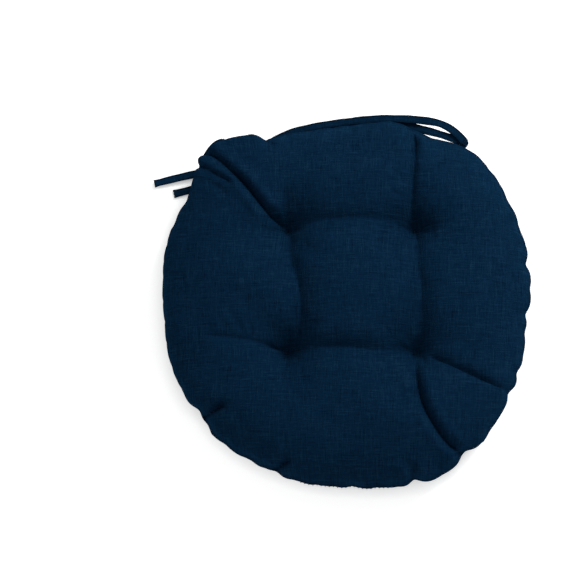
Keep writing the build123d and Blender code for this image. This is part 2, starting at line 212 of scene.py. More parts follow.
def start_shape(xy_unit):
    """Top and underside start heights and plan positions for unit-disc points."""
    x, y = xy_unit
    deg = np.degrees(np.arctan2(y, x))
    rho = np.hypot(x, y)
    rim = out_r(deg)
    cut = rim_shape(deg)
    plan_r = rho * rim - cut * np.clip((rho - 0.82) / 0.18, 0, 1) ** 2
    px, py = plan_r * np.cos(np.radians(deg)), plan_r * np.sin(np.radians(deg))
    xy = np.stack([px, py], 1)
    crown = np.clip(1 - rho ** 2.7, 0, 1) ** 0.62
    top = SEAM_Z + 51.0 * crown
    low = SEAM_Z - 42.0 * np.clip(1 - rho ** 3.4, 0, 1) ** 0.6
    pull, _ = tuft_pull(xy, 20.0)
    top = top - pull * (top - TUFT_TOP)
    pull_low, _ = tuft_pull(xy, 12.0)
    low = low + pull_low * (TUFT_LOW - low)
    fade = np.clip((1 - rho) / 0.10, 0, 1)
    for pts, depth, width in VALLEYS:
        d, s, side, length = near_line(xy, pts)
        shape = np.exp(-np.sqrt((d / width) ** 2 + 0.05) * 1.25)
        env = 1.0 if depth > 8 else np.clip(1 - s, 0, 1) ** 0.7
        top = top - depth * shape * env * fade * (1 - 0.75 * pull)
    for pts, depth, width, stand in FOLDS:
        d, s, side, length = near_line(xy, pts)
        s = np.clip(s, 0, 1)
        env = np.clip(np.minimum(s, 1 - s) * 8.0, 0, 1) ** 0.7
        end = np.where((s <= 0.0) | (s >= 1.0), np.exp(-(d / 4.0) ** 2), 1.0)
        top = top - depth * np.exp(-np.abs(d / width) ** 1.1) * env * end * np.clip((1 - rho) / 0.03, 0.15, 1)
        top = top + stand * np.exp(-((d - width * 2.2) / (width * 1.3)) ** 2) * env * end * np.clip((1 - rho) / 0.06, 0, 1)
    return xy, top, low, rho, deg


def build_cover(n):
    x, y, quads, rim = disc_grid(n)
    xy, top, low, rho, deg = start_shape((x, y))
    wob = smooth_noise(xy, 30.0, 1) * 1.2 * np.clip((1 - rho) * 6, 0, 1)
    wob2 = smooth_noise(xy, 26.0, 2) * 1.0 * np.clip((1 - rho) * 6, 0, 1)
    count = len(x)
    is_rim = np.zeros(count, bool); is_rim[rim] = True
    low_index = np.arange(count)
    inner = np.where(~is_rim)[0]
    low_index[inner] = count + np.arange(len(inner))
    seam_wave = 1.6 * np.sin(np.radians(deg * 7 + 40)) + 1.2 * np.sin(np.radians(deg * 13 + 10)) + 0.8 * np.sin(np.radians(deg * 29))
    verts = np.zeros((count + len(inner), 3))
    verts[:count, 0], verts[:count, 1], verts[:count, 2] = xy[:, 0], xy[:, 1], top + wob
    verts[rim, 2] = SEAM_Z + seam_wave[rim]
    verts[count:, 0], verts[count:, 1], verts[count:, 2] = xy[inner, 0], xy[inner, 1], (low + wob2)[inner]
    faces = [q for q in quads] + [tuple(int(low_index[k]) for k in reversed(q)) for q in quads]
    # flat pattern: where each point was on the cut cloth, a little larger than the finished plan
    deg_r = out_r(deg)
    flat = np.zeros_like(verts)
    grow = CUT_TOP
    flat[:count, 0] = x * deg_r * grow; flat[:count, 1] = y * deg_r * grow; flat[:count, 2] = 0.0
    flat[count:, 0] = x[inner] * deg_r[inner] * grow; flat[count:, 1] = y[inner] * deg_r[inner] * grow; flat[count:, 2] = -1.0
    top_faces = len(quads)
    return verts, faces, flat, top_faces, rim, rho, low_index, count


def new_object(name, verts, faces):
    me = bpy.data.meshes.new(name)
    me.from_pydata([tuple(v) for v in verts], [], faces)
    me.update()
    ob = bpy.data.objects.new(name, me)
    scene.collection.objects.link(ob)
    return ob


def coords(ob):
    a = np.empty(len(ob.data.vertices) * 3)
    ob.data.vertices.foreach_get("co", a)
    return a.reshape(-1, 3)


def set_coords(ob, a):
    ob.data.vertices.foreach_set("co", np.ascontiguousarray(a, dtype=float).ravel())
    ob.data.update()


def simulate(verts, faces, flat, rim, frames, pressure, bend):
    """Blender cloth with pressure: rest lengths from the flat pattern, tufts and rim held. Works at 10x scale."""
    S = 0.01            # mm to Blender units for the simulation: 406 mm becomes 4.06 m, which the solver likes
    ob = new_object("cover_sim", verts * S, faces)
    ob.shape_key_add(name="Basis", from_mix=False)
    key = ob.shape_key_add(name="cut", from_mix=False)
    key.data.foreach_set("co", np.ascontiguousarray(flat * S, dtype=float).ravel())
    key.value = 0.0
    group = ob.vertex_groups.new(name="hold")
    xy = verts[:, :2]
    for (tx, ty) in TUFT.values():
        d = np.hypot(xy[:, 0] - tx, xy[:, 1] - ty)
        for side in (verts[:, 2] > SEAM_Z, verts[:, 2] <= SEAM_Z):
            ids = np.where(side & (d < 3.4))[0]
            if not len(ids):
                ids = np.where(side)[0][np.argsort(d[side])[:1]]
            group.add([int(k) for k in ids], 1.0, "REPLACE")
    group.add([int(k) for k in rim], RIM_HOLD, "REPLACE")
    mod = ob.modifiers.new("Cloth", "CLOTH")
    st = mod.settings
    st.quality = 5
    st.mass = 0.3
    st.air_damping = 1.0
    st.tension_stiffness = 60; st.compression_stiffness = 60; st.shear_stiffness = 20
    st.tension_damping = 8; st.compression_damping = 8; st.shear_damping = 8
    st.bending_model = "ANGULAR"
    st.bending_stiffness = bend; st.bending_damping = 0.5
    st.vertex_group_mass = "hold"
    st.pin_stiffness = 3.0
    st.rest_shape_key = key
    st.use_pressure = True
    st.uniform_pressure_force = pressure
    st.effector_weights.gravity = 0.0
    mod.collision_settings.use_collision = False
    mod.collision_settings.use_self_collision = False
    mod.point_cache.frame_start = 1
    mod.point_cache.frame_end = frames
    scene.frame_start, scene.frame_end = 1, frames
    for f in range(1, frames + 1):
        scene.frame_set(f)
    dg = bpy.context.evaluated_depsgraph_get()
    me = ob.evaluated_get(dg).to_mesh()
    a = np.empty(len(me.vertices) * 3)
    me.vertices.foreach_get("co", a)
    ob.evaluated_get(dg).to_mesh_clear()
    bpy.data.objects.remove(ob, do_unlink=True)
    scene.frame_set(1)
    return a.reshape(-1, 3) / S


# ---------------------------------------------------------------- materials
def mat_new(name):
    m = bpy.data.materials.new(name)
    m.use_nodes = True
    nt = m.node_tree
    nt.nodes.clear()
    out = nt.nodes.new("ShaderNodeOutputMaterial")
    bsdf = nt.nodes.new("ShaderNodeBsdfPrincipled")
    nt.links.new(bsdf.outputs[0], out.inputs[0])
    return m, nt, bsdf


def N(nt, kind, **values):
    n = nt.nodes.new(kind)
    for k, v in values.items():
        if k in n.inputs.keys():
            n.inputs[k].default_value = v
        else:
            setattr(n, k, v)
    return n


def math_node(nt, op, a, b=None, c=None):
    n = nt.nodes.new("ShaderNodeMath"); n.operation = op
    for i, v in enumerate((a, b, c)):
        if v is None:
            continue
        if isinstance(v, (int, float)):
            n.inputs[i].default_value = v
        else:
            nt.links.new(v, n.inputs[i])
    return n.outputs[0]


def mapping(nt, vec, scale, offset=(0, 0, 0)):
    m = nt.nodes.new("ShaderNodeMapping")
    m.inputs["Scale"].default_value = scale
    m.inputs["Location"].default_value = offset
    nt.links.new(vec, m.inputs["Vector"])
    return m.outputs[0]


def noise_node(nt, vec, scale, detail=2.0, rough=0.5):
    n = nt.nodes.new("ShaderNodeTexNoise")
    n.noise_dimensions = "3D"
    n.inputs["Scale"].default_value = scale
    n.inputs["Detail"].default_value = detail
    n.inputs["Roughness"].default_value = rough
    nt.links.new(vec, n.inputs["Vector"])
    return n.outputs["Fac"]


def ramp(nt, fac, lo, hi):
    n = nt.nodes.new("ShaderNodeMapRange")
    n.inputs["From Min"].default_value = lo; n.inputs["From Max"].default_value = hi
    n.interpolation_type = "SMOOTHSTEP"
    nt.links.new(fac, n.inputs["Value"])
    return n.outputs[0]


def weave_material(name, base, pitch=1.15, slub=1.0, bump=1.0, thread_map="cloth"):
    """Slubbed plain weave in millimetre cloth coordinates."""
    m, nt, bsdf = mat_new(name)
    uv = nt.nodes.new("ShaderNodeUVMap"); uv.uv_map = thread_map
    sep = nt.nodes.new("ShaderNodeSeparateXYZ")
    # coordinates arrive as mm / 1000: bring them back to mm, with a little wander so that no thread is quite straight
    mm = mapping(nt, uv.outputs[0], (1000, 1000, 1))
    wander = nt.nodes.new("ShaderNodeTexNoise")
    wander.inputs["Scale"].default_value = 0.035; wander.inputs["Detail"].default_value = 2.0
    nt.links.new(mm, wander.inputs["Vector"])
    vm = nt.nodes.new("ShaderNodeVectorMath"); vm.operation = "SCALE"; vm.inputs["Scale"].default_value = 2.4
    nt.links.new(wander.outputs["Color"], vm.inputs[0])
    va = nt.nodes.new("ShaderNodeVectorMath"); va.operation = "ADD"
    nt.links.new(mm, va.inputs[0]); nt.links.new(vm.outputs[0], va.inputs[1])
    pos = va.outputs[0]
    nt.links.new(pos, sep.inputs[0])
    x, y = sep.outputs[0], sep.outputs[1]
    k = 2 * math.pi / (2 * pitch)
    sx = math_node(nt, "SINE", math_node(nt, "MULTIPLY", x, k))
    sy = math_node(nt, "SINE", math_node(nt, "MULTIPLY", y, k))
    cx = math_node(nt, "ABSOLUTE", math_node(nt, "COSINE", math_node(nt, "MULTIPLY", x, k)))
    cy = math_node(nt, "ABSOLUTE", math_node(nt, "COSINE", math_node(nt, "MULTIPLY", y, k)))
    over = math_node(nt, "MULTIPLY", sx, sy)                       # which thread is on top
    plain = math_node(nt, "ADD", math_node(nt, "MULTIPLY", over, 0.35), math_node(nt, "MULTIPLY", math_node(nt, "ADD", cx, cy), -0.22))
    # slubs: long thick places in single threads, both ways, and finer unevenness between them
    weft = noise_node(nt, mapping(nt, pos, (1 / 26.0, 1 / 1.25, 1)), 1.0, 2.0, 0.55)
    warp = noise_node(nt, mapping(nt, pos, (1 / 1.25, 1 / 26.0, 1), (31, 7, 3)), 1.0, 2.0, 0.55)
    weft_s = noise_node(nt, mapping(nt, pos, (1 / 9.0, 1 / 0.8, 1), (5, 9, 1)), 1.0, 1.0, 0.5)
    warp_s = noise_node(nt, mapping(nt, pos, (1 / 0.8, 1 / 9.0, 1), (3, 19, 8)), 1.0, 1.0, 0.5)
    slub_w = math_node(nt, "ADD", ramp(nt, weft, 0.50, 0.78), math_node(nt, "MULTIPLY", ramp(nt, weft_s, 0.46, 0.78), 0.75))
    slub_p = math_node(nt, "ADD", ramp(nt, warp, 0.50, 0.78), math_node(nt, "MULTIPLY", ramp(nt, warp_s, 0.46, 0.78), 0.75))
    slubs = math_node(nt, "ADD", slub_w, slub_p)
    thin = math_node(nt, "ADD", ramp(nt, weft, 0.46, 0.26), ramp(nt, warp, 0.46, 0.26))
    patch = noise_node(nt, mapping(nt, pos, (1 / 60.0, 1 / 60.0, 1), (2, 4, 6)), 1.0, 3.0, 0.55)
    fine = noise_node(nt, mapping(nt, pos, (1.6, 1.6, 1)), 1.0, 1.0, 0.5)
    # colour: value varies by thread, with slubs paler and gaps darker
    val = math_node(nt, "ADD", 1.0, math_node(nt, "MULTIPLY", slubs, 0.35 * slub))
    val = math_node(nt, "SUBTRACT", val, math_node(nt, "MULTIPLY", thin, 0.32 * slub))
    val = math_node(nt, "ADD", val, math_node(nt, "MULTIPLY", math_node(nt, "SUBTRACT", patch, 0.5), 0.36))
    val = math_node(nt, "ADD", val, math_node(nt, "MULTIPLY", math_node(nt, "SUBTRACT", fine, 0.5), 0.60))
    val = math_node(nt, "ADD", val, math_node(nt, "MULTIPLY", plain, 0.16))
    hue = nt.nodes.new("ShaderNodeMix"); hue.data_type = "RGBA"
    hue.inputs[6].default_value = (base[0], base[1], base[2], 1)
    hue.inputs[7].default_value = (base[0] * 1.5, base[1] * 1.12, base[2] * 0.97, 1)
    nt.links.new(ramp(nt, slubs, 0.2, 1.4), hue.inputs[0])
    sc = nt.nodes.new("ShaderNodeVectorMath"); sc.operation = "SCALE"
    nt.links.new(hue.outputs[2], sc.inputs[0]); nt.links.new(val, sc.inputs["Scale"])
    nt.links.new(sc.outputs[0], bsdf.inputs["Base Color"])
    rough = math_node(nt, "SUBTRACT", 0.93, math_node(nt, "MULTIPLY", slubs, 0.06))
    nt.links.new(rough, bsdf.inputs["Roughness"])
    bsdf.inputs["Specular IOR Level"].default_value = 0.0
    bsdf.inputs["Sheen Weight"].default_value = 0.022
    bsdf.inputs["Sheen Roughness"].default_value = 0.45
    bsdf.inputs["Sheen Tint"].default_value = (0.05, 0.30, 0.55, 1)
    height = math_node(nt, "ADD", math_node(nt, "MULTIPLY", plain, 0.20), math_node(nt, "MULTIPLY", slubs, 0.26 * slub))
    height = math_node(nt, "ADD", height, math_node(nt, "MULTIPLY", fine, 0.16))
    height = math_node(nt, "SUBTRACT", height, math_node(nt, "MULTIPLY", thin, 0.10))
    b = nt.nodes.new("ShaderNodeBump")
    b.inputs["Strength"].default_value = 0.75 * bump
    b.inputs["Distance"].default_value = 0.0006
    nt.links.new(height, b.inputs["Height"])
    nt.links.new(b.outputs[0], bsdf.inputs["Normal"])
    return m


def thread_material(name, base):
    m, nt, bsdf = mat_new(name)
    tc = nt.nodes.new("ShaderNodeTexCoord")
    w = nt.nodes.new("ShaderNodeTexWave")
    w.wave_type = "BANDS"; w.bands_direction = "DIAGONAL"
    w.inputs["Scale"].default_value = 900.0; w.inputs["Distortion"].default_value = 1.2
    nt.links.new(tc.outputs["Object"], w.inputs["Vector"])
    n = noise_node(nt, tc.outputs["Object"], 2500.0, 2.0)
    v = math_node(nt, "ADD", math_node(nt, "MULTIPLY", w.outputs["Fac"], 0.5), math_node(nt, "MULTIPLY", n, 0.7))
    sc = nt.nodes.new("ShaderNodeVectorMath"); sc.operation = "SCALE"
    sc.inputs[0].default_value = base
    nt.links.new(math_node(nt, "ADD", v, 0.45), sc.inputs["Scale"])
    nt.links.new(sc.outputs[0], bsdf.inputs["Base Color"])
    bsdf.inputs["Roughness"].default_value = 0.75
    bsdf.inputs["Specular IOR Level"].default_value = 0.05
    b = nt.nodes.new("ShaderNodeBump"); b.inputs["Strength"].default_value = 0.6; b.inputs["Distance"].default_value = 0.0003
    nt.links.new(v, b.inputs["Height"]); nt.links.new(b.outputs[0], bsdf.inputs["Normal"])
    return m


def fibre_material():
    m, nt, bsdf = mat_new("white_fibre")
    tc = nt.nodes.new("ShaderNodeTexCoord")
    n = noise_node(nt, mapping(nt, tc.outputs["Object"], (1, 1, 3)), 160.0, 6.0, 0.7)
    mix = nt.nodes.new("ShaderNodeMix"); mix.data_type = "RGBA"
    mix.inputs[6].default_value = (0.62, 0.62, 0.60, 1); mix.inputs[7].default_value = (0.88, 0.88, 0.86, 1)
    nt.links.new(n, mix.inputs[0]); nt.links.new(mix.outputs[2], bsdf.inputs["Base Color"])
    bsdf.inputs["Roughness"].default_value = 0.95
    b = nt.nodes.new("ShaderNodeBump"); b.inputs["Distance"].default_value = 0.002
    nt.links.new(n, b.inputs["Height"]); nt.links.new(b.outputs[0], bsdf.inputs["Normal"])
    return m


BASE = (0.00232, 0.0144, 0.0370)
M_COVER = weave_material("navy_slub_weave", BASE)
M_TIE = weave_material("navy_tie_weave", (BASE[0] * 1.1, BASE[1] * 1.08, BASE[2] * 1.05), pitch=0.9, slub=0.8)


def paint_tape_shade_and_highlight(m):
    """Painted shade and highlight on the folded tape: the rolled edges painted darker than the middle, painted shade in
    the stitched groove between, and the middle painted a little lighter.
    """
    nt = m.node_tree; bsdf = nt.nodes["Principled BSDF"]
    at = nt.nodes.new("ShaderNodeUVMap"); at.uv_map = "across"
    parts = nt.nodes.new("ShaderNodeSeparateXYZ"); nt.links.new(at.outputs[0], parts.inputs[0])
    u = parts.outputs[0]
    # painted shade: darker towards the rolled edges and in the groove; painted highlight: the middle scaled up by 1.08
    edge = ramp(nt, u, 0.35, 1.0)
    groove = math_node(nt, "MULTIPLY", ramp(nt, u, 0.50, 0.60), ramp(nt, u, 0.72, 0.62))
    val = math_node(nt, "SUBTRACT", 1.08, math_node(nt, "MULTIPLY", edge, 0.50))
    val = math_node(nt, "SUBTRACT", val, math_node(nt, "MULTIPLY", groove, 0.22))
    sc = nt.nodes.new("ShaderNodeVectorMath"); sc.operation = "SCALE"
    src = bsdf.inputs["Base Color"].links[0].from_socket
    nt.links.new(src, sc.inputs[0]); nt.links.new(val, sc.inputs["Scale"])
    nt.links.new(sc.outputs[0], bsdf.inputs["Base Color"])


# painted shade and highlight on the tie tapes' rolled edges, groove and middle
paint_tape_shade_and_highlight(M_TIE)
M_THREAD = thread_material("navy_thread", (BASE[0] * 1.0, BASE[1] * 0.95, BASE[2] * 0.95))
M_FIBRE = fibre_material()


# ---------------------------------------------------------------- cover
def laplacian_smooth(v, faces_n, rounds):
    return v


def make_cover():
    verts, faces, flat, top_faces, rim, rho, low_index, count = build_cover(GRID)
    res = simulate(verts, faces, flat, rim, FRAMES, PRESSURE, BEND)
    # nothing may move more than a set amount from its designed place
    d = res - verts
    L = np.linalg.norm(d, axis=1)
    cap = 16.0
    res = verts + d * (np.minimum(1, cap / np.maximum(L, 1e-9)))[:, None]
    np_flat = flat
    pieces = {}
    fine = refine(res, faces, np_flat, top_faces)
    return fine, res, rim


def refine(v, faces, flat, top_faces):
    """One Catmull-Clark subdivision of the whole closed cover, cloth coordinates carried as a UV map."""
    ob = new_object("cover_work", v, faces)
    uv = ob.data.uv_layers.new(name="cloth")
    loops = np.empty(len(ob.data.loops), int)
    ob.data.loops.foreach_get("vertex_index", loops)
    uv.data.foreach_set("uv", np.ascontiguousarray(flat[loops, :2] * 0.001, dtype=float).ravel())
    side = ob.data.attributes.new("side", "INT", "FACE")
    side.data.foreach_set("value", np.array([0] * top_faces + [1] * (len(faces) - top_faces), dtype=np.int32))
    mod = ob.modifiers.new("Subdivision", "SUBSURF")
    mod.levels = mod.render_levels = 1
    mod.uv_smooth = "PRESERVE_BOUNDARIES"
    dg = bpy.context.evaluated_depsgraph_get()
    me = bpy.data.meshes.new_from_object(ob.evaluated_get(dg))
    bpy.data.objects.remove(ob, do_unlink=True)
    return me


def mesh_coords(me):
    a = np.empty(len(me.vertices) * 3)
    me.vertices.foreach_get("co", a)
    return a.reshape(-1, 3)


def finish_shape(me):
    """Sculpt pass on the fine mesh, in mm: seam lip, fine puckers, sharpened folds, flat resting face."""
    v = mesh_coords(me)
    side = np.empty(len(me.polygons), dtype=np.int32)
    me.attributes["side"].data.foreach_get("value", side)
    top = np.zeros(len(v), bool); low = np.zeros(len(v), bool)
    starts = np.empty(len(me.polygons), int); me.polygons.foreach_get("loop_start", starts)
    loops = np.empty(len(me.loops), int); me.loops.foreach_get("vertex_index", loops)
    quads = loops.reshape(-1, 4)
    top[quads[side == 0].ravel()] = True
    low[quads[side == 1].ravel()] = True
    rim = top & low
    rv = v[rim]
    rdeg = np.degrees(np.arctan2(rv[:, 1], rv[:, 0]))
    order = np.argsort(rdeg)
    rdeg, rrad, rz = rdeg[order], np.hypot(rv[order, 0], rv[order, 1]), rv[order, 2]
    wrap = lambda a: np.concatenate([a[-8:], a, a[:8]])
    wd = np.concatenate([rdeg[-8:] - 360, rdeg, rdeg[:8] + 360])
    deg = np.degrees(np.arctan2(v[:, 1], v[:, 0])); rad = np.hypot(v[:, 0], v[:, 1])
    rim_r = np.interp(deg, wd, wrap(rrad)); rim_z = np.interp(deg, wd, wrap(rz))
    inward = np.maximum(rim_r - rad, 0.0)
    # lip: the two cloths lie together for the last few millimetres
    t = np.clip((inward - 1.2) / 5.5, 0, 1)
    keep = 0.22 + 0.78 * (t * t * (3 - 2 * t))
    near = (inward < 7.0)
    v[near, 2] = rim_z[near] + (v[near, 2] - rim_z[near]) * keep[near]
    # fine gathers running in from the seam
    gather = np.zeros(len(v))
    for k, (freq, amp, seed) in enumerate(((61.0, 0.55, 0.3), (97.0, 0.40, 1.7), (143.0, 0.25, 2.9))):
        gather += amp * np.sin(np.radians(deg * freq) + seed * 6.28 + 2.5 * np.sin(np.radians(deg * 5 + 60 * k)))
    local = 0.55 + 0.45 * np.sin(np.radians(deg * 9 + 30)) * np.sin(np.radians(deg * 4 + 80))
    left_smooth = 1 - 0.6 * np.exp(-(((deg - 180 + 180) % 360 - 180) / 34.0) ** 2)
    amt = np.exp(-((inward - 6.0) / 9.0) ** 2) * (inward < 40) * local * left_smooth
    v[:, 2] += np.where(top, 1, -1) * gather * amt * (~rim)
    wave = 0.9 * np.sin(np.radians(deg * 53 + 20)) + 0.7 * np.sin(np.radians(deg * 31 + 75)) * left_smooth
    edge = np.clip(1 - inward / 9.0, 0, 1) ** 1.5
    v[:, 2] += wave * edge * left_smooth
    # sharpen the designed folds
    xy = v[:, :2]
    tops = np.where(top & ~rim)[0]
    rho = rad / rim_r
    for pts, depth, width, stand in FOLDS:
        line = np.array(pts)
        lo, hi = line.min(axis=0) - 12, line.max(axis=0) + 12
        ids = tops[(xy[tops, 0] > lo[0]) & (xy[tops, 0] < hi[0]) & (xy[tops, 1] > lo[1]) & (xy[tops, 1] < hi[1])]
        if not len(ids):
            continue
        d, s, sd, length = near_line(xy[ids], pts)
        s = np.clip(s, 0, 1)
        env = np.clip(np.minimum(s, 1 - s) * 7.0, 0, 1) ** 0.8
        inside = (s > 0) & (s < 1)
        v[ids, 2] -= FOLD_SHARP * depth * np.exp(-np.abs(d / (width * 0.42)) ** 1.3) * env * inside * np.clip((1 - rho[ids]) / 0.03, 0, 1)
        v[ids, 2] += 0.16 * stand * np.exp(-((d - width * 1.1) / (width * 0.6)) ** 2) * env * inside * np.clip((1 - rho[ids]) / 0.05, 0, 1)
    # tuft pits: the stitches pleat the cloth around them
    for i, (tx, ty) in enumerate(TUFT.values()):
        d = np.hypot(xy[:, 0] - tx, xy[:, 1] - ty)
        ang = np.arctan2(xy[:, 1] - ty, xy[:, 0] - tx)
        pleat = np.sin(ang * 7 + i * 1.3) * 0.8 + np.sin(ang * 11 + i * 2.1) * 0.5
        v[:, 2] += np.where(top, 1, 0) * pleat * np.exp(-((d - 13) / 9.0) ** 2) * 0.8
    # the left edge is rolled under, so that its seam hides below the bulge
    dl = (deg - 184.0 + 180.0) % 360.0 - 180.0
    w = np.clip(1 - (np.abs(dl) / 44.0) ** 2, 0, 1)
    w = w * w * (3 - 2 * w)
    r_now = np.hypot(v[:, 0], v[:, 1])
    start_r = rim_r - 30.0
    share = np.clip((r_now - start_r) / 30.0, 0, 1)
    turn = np.radians(34.0) * w * share ** 1.3
    dr, dz = r_now - start_r, v[:, 2] - 44.0
    c_, s_ = np.cos(turn), np.sin(turn)
    nr = start_r + dr * c_ + dz * s_ * 0.9
    nz = 44.0 - dr * s_ + dz * c_
    m_ = share > 0
    k_ = np.where(m_, nr / np.maximum(r_now, 1e-6), 1.0)
    v[:, 0] *= k_; v[:, 1] *= k_
    v[:, 2] = np.where(m_, nz, v[:, 2])
    # the filling swells out over the seam at the back left corner, above the tie
    dl = (deg - 130.0 + 180.0) % 360.0 - 180.0
    w = np.clip(1 - (np.abs(dl) / 21.0) ** 2, 0, 1)
    w = w * w * (3 - 2 * w)
    r_now = np.hypot(v[:, 0], v[:, 1])
    push = 13.5 * w * np.exp(-((v[:, 2] - 59.5) / 9.0) ** 2) * np.clip((r_now - (rim_r - 48.0)) / 24.0, 0, 1) * (top & ~rim)
    k_ = 1 + push / np.maximum(r_now, 1e-6)
    v[:, 0] *= k_; v[:, 1] *= k_
    # resting face: flat where it lies on the seat
    z = v[:, 2]
    soft = 2.2
    zz = np.where(low & ~rim, soft * np.logaddexp(0, (z - 0.15) / soft) - soft * 0.0, z)
    v[:, 2] = np.where(low & ~rim, np.minimum(zz, np.maximum(z, 0.0) + 1.5), z)
    v[:, 2] = np.maximum(v[:, 2], 0.0)
    rv = v[rim][order]
    return v, quads, side, rim, (rdeg, np.hypot(rv[:, 0], rv[:, 1]), rv[:, 2])


def split_piece(name, v, quads, uv_all, keep, material):
    """A mesh piece from some of the quads, in metres, with its cloth coordinates."""
    used = np.unique(quads[keep])
    remap = -np.ones(len(v), int); remap[used] = np.arange(len(used))
    ob = new_object(name, v[used] * MM, [tuple(int(k) for k in q) for q in remap[quads[keep]]])
    uv = ob.data.uv_layers.new(name="cloth")
    uv.data.foreach_set("uv", np.ascontiguousarray(uv_all.reshape(-1, 4, 2)[keep], dtype=float).ravel())
    ob.data.materials.append(material)
    ob.data.polygons.foreach_set("use_smooth", [True] * len(ob.data.polygons))
    ob.data.update()
    return ob


def tube(points, radius, sides=8, closed=False, cap=True):
    """Vertices and faces of a round thread along points (mm)."""
    p = np.array(points, float); n = len(p)
    tan = np.roll(p, -1, 0) - np.roll(p, 1, 0)
    if not closed:
        tan[0], tan[-1] = p[1] - p[0], p[-1] - p[-2]
    tan /= np.linalg.norm(tan, axis=1, keepdims=True) + 1e-12
    ref = np.array([0.0, 0.0, 1.0])
    if abs(tan[0] @ ref) > 0.9:
        ref = np.array([1.0, 0.0, 0.0])
    nrm = np.cross(tan[0], ref); nrm /= np.linalg.norm(nrm)
    verts, faces = [], []
    for i in range(n):
        nrm = nrm - tan[i] * (nrm @ tan[i]); nrm /= np.linalg.norm(nrm) + 1e-12
        b = np.cross(tan[i], nrm)
        r = radius(i / max(n - 1, 1)) if callable(radius) else radius
        for k in range(sides):
            a = 2 * math.pi * k / sides
            verts.append(p[i] + r * (math.cos(a) * nrm + math.sin(a) * b))
    for i in range(n if closed else n - 1):
        j = (i + 1) % n
        for k in range(sides):
            m = (k + 1) % sides
            faces.append((i * sides + k, j * sides + k, j * sides + m, i * sides + m))
    if cap and not closed:
        faces.append(tuple(range(sides)))
        faces.append(tuple((n - 1) * sides + k for k in reversed(range(sides))))
    return np.array(verts), faces


def join_parts(parts):
    vs, fs, base = [], [], 0
    for v, f in parts:
        vs.append(v); fs += [tuple(k + base for k in q) for q in f]; base += len(v)
    return np.vstack(vs), fs


def solid_piece(name, parts, material, smooth=True):
    v, f = join_parts(parts)
    ob = new_object(name, v * MM, f)
    bm = bmesh.new(); bm.from_mesh(ob.data); bmesh.ops.recalc_face_normals(bm, faces=bm.faces); bm.to_mesh(ob.data); bm.free()
    ob.data.materials.append(material)
    ob.data.polygons.foreach_set("use_smooth", [smooth] * len(ob.data.polygons))
    return ob


CUT_TOP = 1.135
GRID = 124
FRAMES = 22
PRESSURE = 4.0
BEND = 0.6
RIM_HOLD = 0.5
FOLD_SHARP = 0.85

me, coarse, rim_ids = make_cover()
uvs = np.empty(len(me.loops) * 2); me.uv_layers["cloth"].data.foreach_get("uv", uvs)
V, QUADS, SIDE, RIM, (RDEG, RRAD, RZ) = finish_shape(me)
top_cover = split_piece("cushion_top_cover", V, QUADS, uvs, SIDE == 0, M_COVER)
bottom_cover = split_piece("cushion_bottom_cover", V, QUADS, uvs, SIDE == 1, M_COVER)
bpy.data.meshes.remove(me)
print("cover ready", round(time.time() - T0, 1), "s")


def rim_at(deg):
    """Finished rim radius and height at an angle."""
    d = (np.asarray(deg, float) + 180.0) % 360.0 - 180.0
    wd = np.concatenate([RDEG[-8:] - 360, RDEG, RDEG[:8] + 360])
    w = lambda a: np.concatenate([a[-8:], a, a[:8]])
    return np.interp(d, wd, w(RRAD)), np.interp(d, wd, w(RZ))


# ---------------------------------------------------------------- filling, a shrunken copy of the relaxed cover
def cell_limits(cell=4.0, reach=3):
    """Lowest finished top cloth and highest finished underside near any point, in mm."""
    n = int(520 / cell)
    def field(pts, sign):
        g = np.full((n, n), 1e9)
        i = np.clip(((pts[:, 0] + 260) / cell).astype(int), 0, n - 1); j = np.clip(((pts[:, 1] + 260) / cell).astype(int), 0, n - 1)
        np.minimum.at(g, (i, j), sign * pts[:, 2])
        out = g.copy()
        for a in range(-reach, reach + 1):
            for b in range(-reach, reach + 1):
                if a * a + b * b <= reach * reach + 1:
                    out = np.minimum(out, np.roll(np.roll(g, a, 0), b, 1))
        def look(xy):
            i = np.clip(((xy[:, 0] + 260) / cell).astype(int), 0, n - 1); j = np.clip(((xy[:, 1] + 260) / cell).astype(int), 0, n - 1)
            return sign * out[i, j]
        return look
    top_pts = V[np.unique(QUADS[SIDE == 0])]; low_pts = V[np.unique(QUADS[SIDE == 1])]
    return field(top_pts, 1.0), field(low_pts, -1.0)


